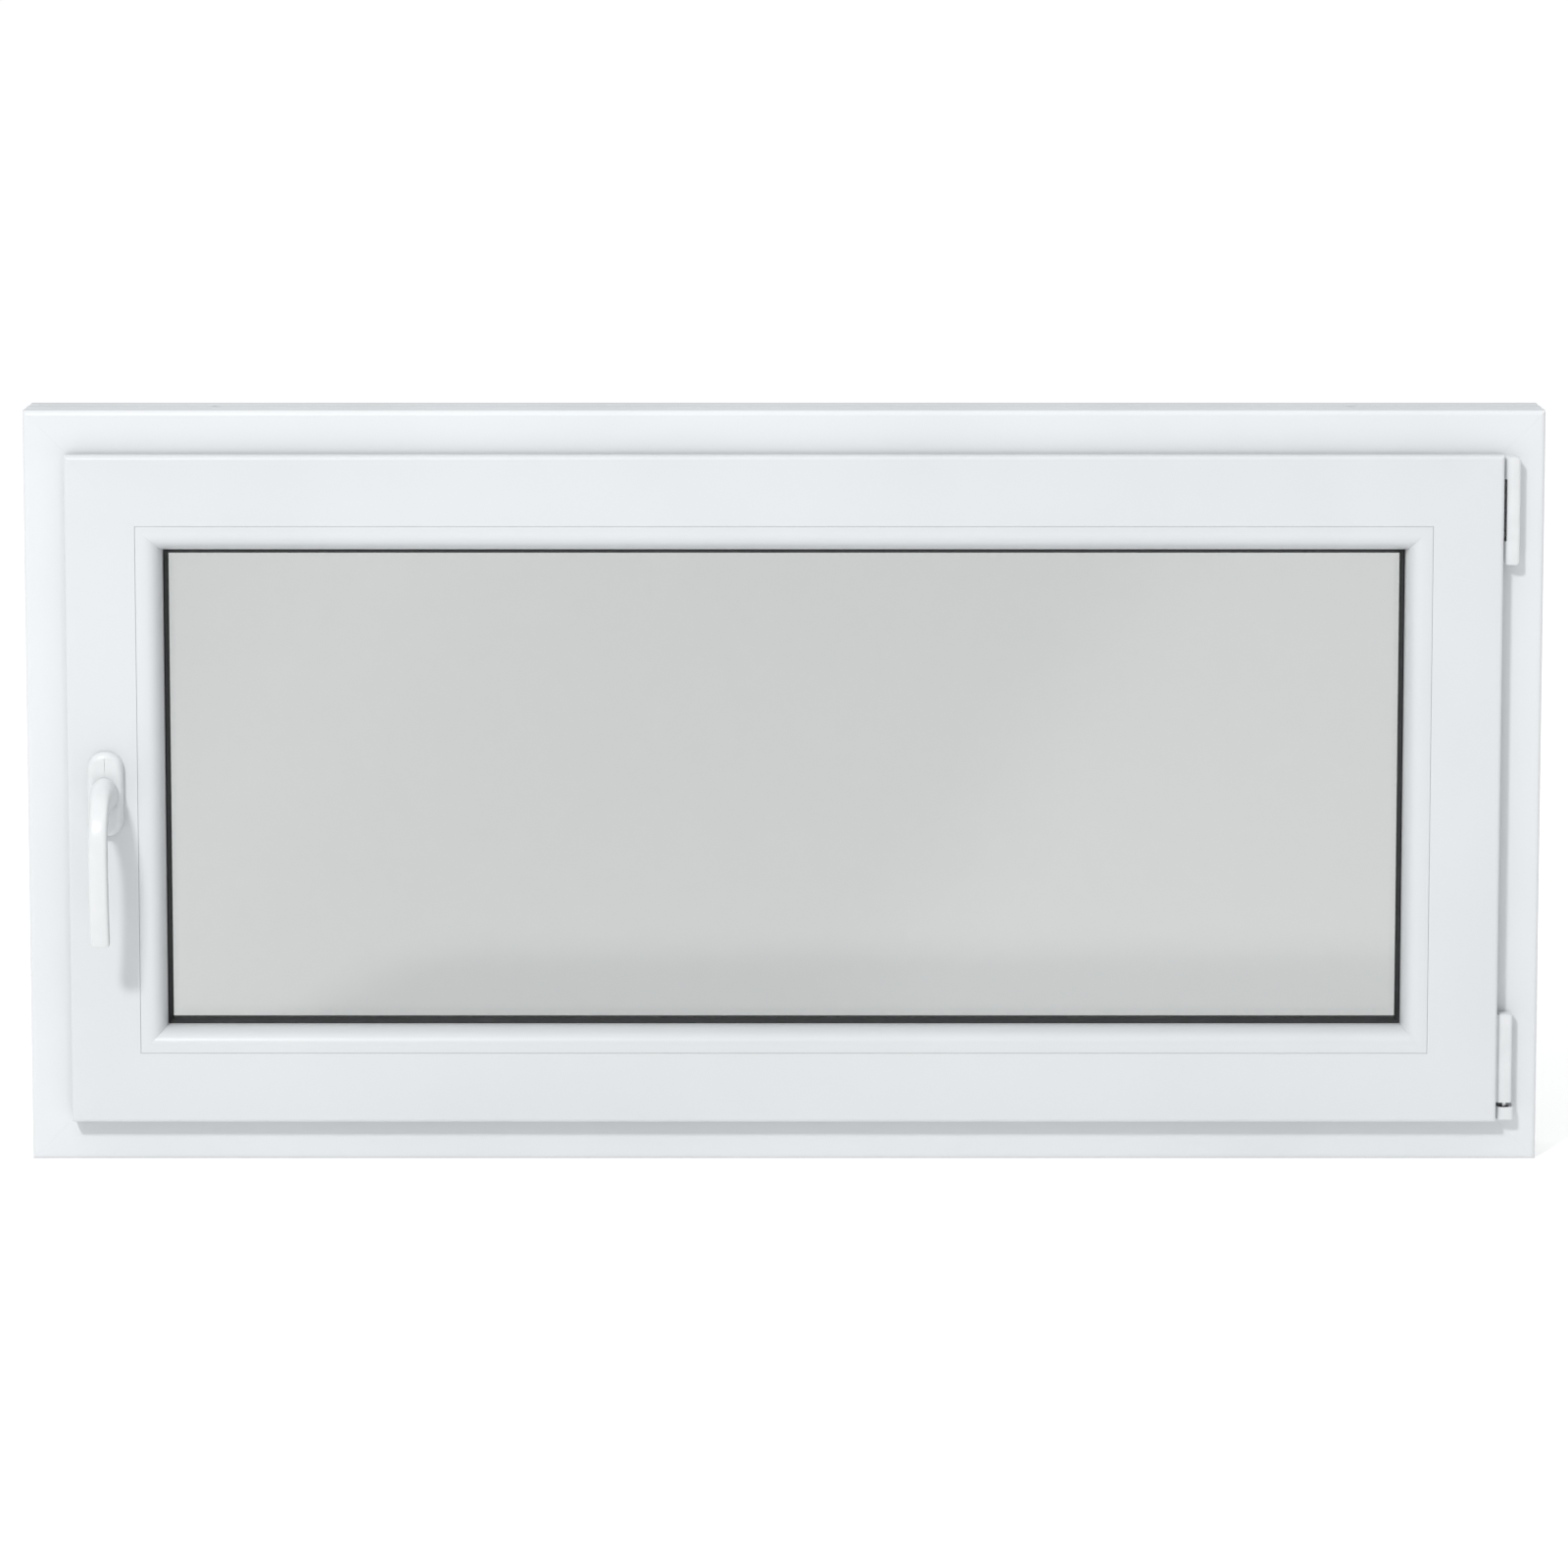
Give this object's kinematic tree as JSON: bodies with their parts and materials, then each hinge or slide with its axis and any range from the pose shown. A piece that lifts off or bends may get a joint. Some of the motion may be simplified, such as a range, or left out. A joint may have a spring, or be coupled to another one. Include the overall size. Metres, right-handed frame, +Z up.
{
  "type": "casement window",
  "caption": "White plastic casement window that turns inwards on side hinges or tilts in at the top, with double glazing and a lever handle.",
  "frame": {"origin": "middle of the sill's underside, half way through the frame's depth", "axes": "+Z up, +X towards the hinge side, -Y into the room, +Y to the outside"},
  "size_m": [1.2, 0.1632, 0.6],
  "materials": {
    "pvc_profile": "satin white",
    "white_cap": "satin white",
    "white_enamel": "satin white powder coat",
    "black_rubber": "matt",
    "clear_glass": "clear",
    "spacer_grey": "matt",
    "sealant": "matt",
    "zinc_steel": "zinc plated",
    "galvanised_steel": "galvanised",
    "cast_zinc": "silver coat",
    "grey_nylon": "matt",
    "blue_packer": "matt"
  },
  "bodies": {
    "outer_frame": {"frame_head": "pvc_profile", "frame_sill": "pvc_profile", "frame_left_jamb": "pvc_profile", "frame_right_jamb": "pvc_profile", "frame_steel": "galvanised_steel", "stop_gasket": "black_rubber", "striker_plates": "cast_zinc", "tilt_keep": "cast_zinc", "runup_block": "white_cap", "drain_caps": "white_cap", "top_hinge_bracket": "zinc_steel", "top_hinge_pin": "zinc_steel", "top_hinge_cover": "white_cap", "bottom_pivot_rest": "zinc_steel", "pivot_rest_cap": "white_cap", "frame_fitting_screws": "zinc_steel"},
    "pivot": {"pivot_bush": "grey_nylon"},
    "sash": {"sash_top_rail": "pvc_profile", "sash_bottom_rail": "pvc_profile", "sash_lock_stile": "pvc_profile", "sash_hinge_stile": "pvc_profile", "sash_steel": "galvanised_steel", "overlap_gasket": "black_rubber", "inner_pane": "clear_glass", "outer_pane": "clear_glass", "spacer_bar": "spacer_grey", "edge_seal": "sealant", "inner_glazing_gasket": "black_rubber", "outer_glazing_gasket": "black_rubber", "bead_top": "pvc_profile", "bead_bottom": "pvc_profile", "bead_left": "pvc_profile", "bead_right": "pvc_profile", "setting_blocks": "blue_packer", "lock_faceplate": "zinc_steel", "gearbox_case": "zinc_steel", "top_faceplate": "zinc_steel", "stay_guide_rail": "zinc_steel", "bottom_faceplate": "zinc_steel", "corner_drives": "zinc_steel", "corner_band": "zinc_steel", "corner_band_cover": "white_cap", "pivot_pin": "zinc_steel", "handle_base_plate": "zinc_steel", "handle_cover": "white_cap", "handle_screws": "zinc_steel", "sash_fitting_screws": "zinc_steel"},
    "stay": {"stay_arm": "zinc_steel", "stay_stud": "cast_zinc"},
    "handle": {"lever": "white_enamel", "spindle": "zinc_steel", "handle_bush": "grey_nylon", "pinion": "cast_zinc"},
    "stile_drive": {"drive_rack": "cast_zinc", "stile_rods": "zinc_steel", "stile_cams": "cast_zinc"},
    "top_drive": {"top_rod": "zinc_steel", "top_cams": "cast_zinc"},
    "bottom_drive": {"bottom_rod": "zinc_steel", "bottom_cams": "cast_zinc"}
  },
  "joints": [
    {"name": "turn", "type": "hinge", "parent": "outer_frame", "child": "pivot", "pos_m": [0.573, -0.043, 0.04], "axis": [0, 0, 1], "range_deg": [0, 90]},
    {"name": "tilt", "type": "hinge", "parent": "pivot", "child": "sash", "pos_m": [0.573, -0.043, 0.04], "axis": [1, 0, 0], "range_deg": [0, 10]},
    {"name": "stay_swing", "type": "hinge", "parent": "pivot", "child": "stay", "pos_m": [0.573, -0.043, 0.5225], "axis": [0, 0, 1], "range_deg": [0, 15]},
    {"name": "handle_turn", "type": "hinge", "parent": "sash", "child": "handle", "pos_m": [-0.5355, -0.06, 0.2985], "axis": [0, -1, 0], "range_deg": [0, 180]},
    {"name": "stile_slide", "type": "slide", "parent": "sash", "child": "stile_drive", "axis": [0, 0, 1], "range_m": [0, 0.0265]},
    {"name": "top_slide", "type": "slide", "parent": "sash", "child": "top_drive", "axis": [1, 0, 0], "range_m": [0, 0.0265]},
    {"name": "bottom_slide", "type": "slide", "parent": "sash", "child": "bottom_drive", "axis": [-1, 0, 0], "range_m": [0, 0.0265]}
  ],
  "couplings": [
    {"joint": "stay_swing", "follows": "tilt", "ratio": 1.46},
    {"joint": "stile_slide", "follows": "handle_turn", "m_per_rad": 0.0084},
    {"joint": "top_slide", "follows": "handle_turn", "m_per_rad": 0.0084},
    {"joint": "bottom_slide", "follows": "handle_turn", "m_per_rad": 0.0084}
  ]
}
